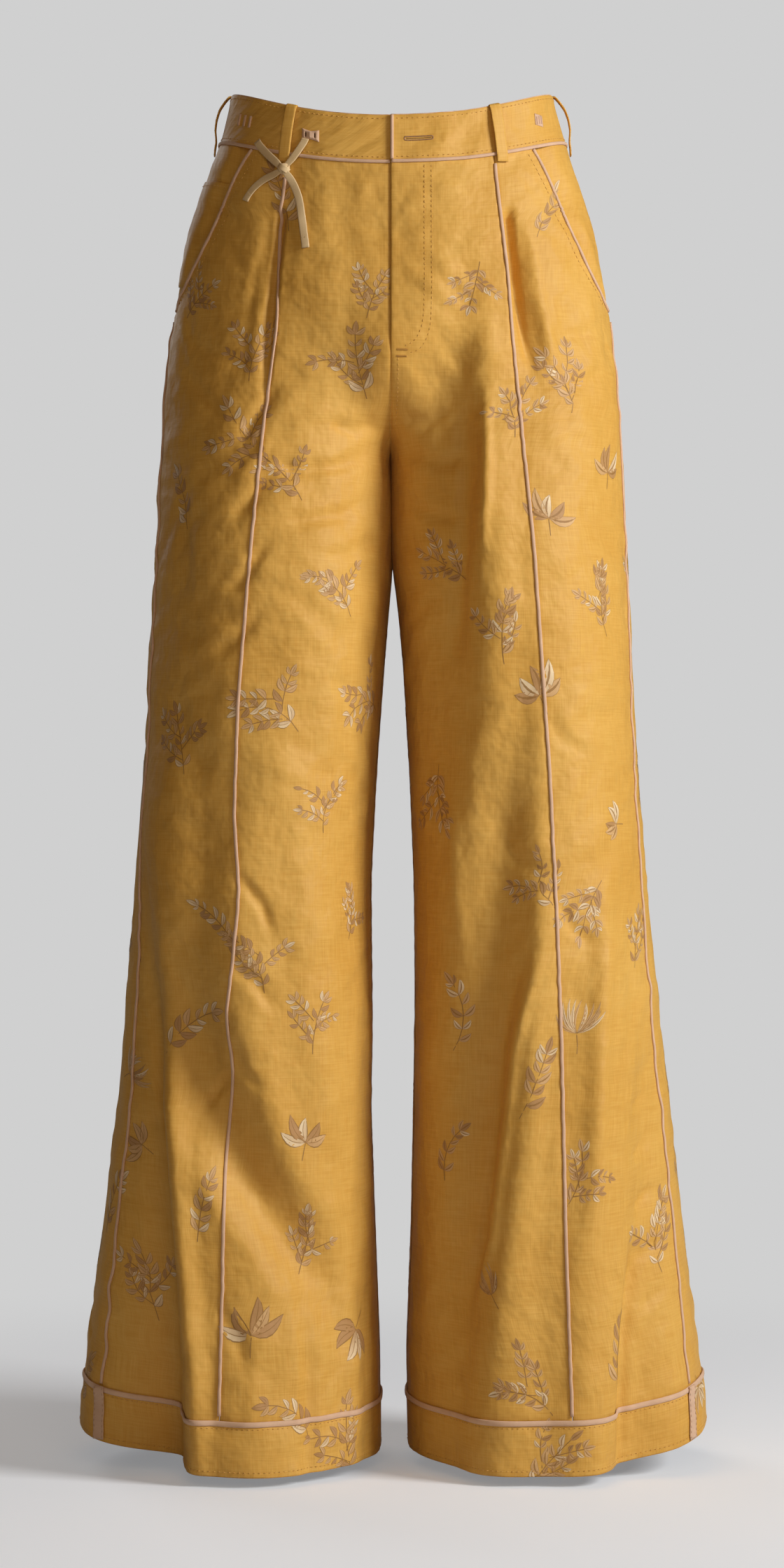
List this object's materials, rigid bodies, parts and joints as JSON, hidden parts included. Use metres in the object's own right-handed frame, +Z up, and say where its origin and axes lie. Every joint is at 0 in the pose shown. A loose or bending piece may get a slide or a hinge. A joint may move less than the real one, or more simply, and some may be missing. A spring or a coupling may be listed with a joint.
{
  "type": "palazzo pants",
  "caption": "High-waisted wide-leg linen trousers with slant pockets, piped seams, belt loops, turned-up hems and a small tie at the waist, shown filled out as worn.",
  "frame": {"origin": "middle of the waist opening, level with the waistband's top edge at the sides", "axes": "+Z up out of the waist, the front faces -Y, the wearer's left is +X"},
  "size_m": [0.4887, 0.265, 1.058],
  "materials": {
    "mustard_linen": "woven linen, slight sheen",
    "blush_bias_tape": "woven, matte",
    "cream_tape": "woven, matte"
  },
  "bodies": {
    "root": {"back_left": "mustard_linen", "back_right": "mustard_linen", "belt_loop_back": "mustard_linen", "belt_loop_front_left": "mustard_linen", "belt_loop_front_right": "mustard_linen", "belt_loop_side_left": "mustard_linen", "belt_loop_side_right": "mustard_linen", "coin_pocket": "mustard_linen", "crease_piping_left": "blush_bias_tape", "crease_piping_right": "blush_bias_tape", "front_centre_left": "mustard_linen", "front_centre_right": "mustard_linen", "front_side_left": "mustard_linen", "front_side_right": "mustard_linen", "hem_band_left": "mustard_linen", "hem_band_right": "mustard_linen", "hem_piping_left": "blush_bias_tape", "hem_piping_right": "blush_bias_tape", "hem_tab_left": "blush_bias_tape", "hem_tab_right": "blush_bias_tape", "pocket_facing_left": "mustard_linen", "pocket_facing_right": "mustard_linen", "pocket_piping_left": "blush_bias_tape", "pocket_piping_right": "blush_bias_tape", "side_piping_left": "blush_bias_tape", "side_piping_right": "blush_bias_tape", "tie_end": "cream_tape", "tie_knot": "cream_tape", "tie_strand": "cream_tape", "tie_tack": "blush_bias_tape", "tie_tail_inner": "cream_tape", "tie_tail_outer": "cream_tape", "waist_piping": "blush_bias_tape", "waistband": "mustard_linen", "waistband_edge_binding": "blush_bias_tape"}
  },
  "joints": []
}
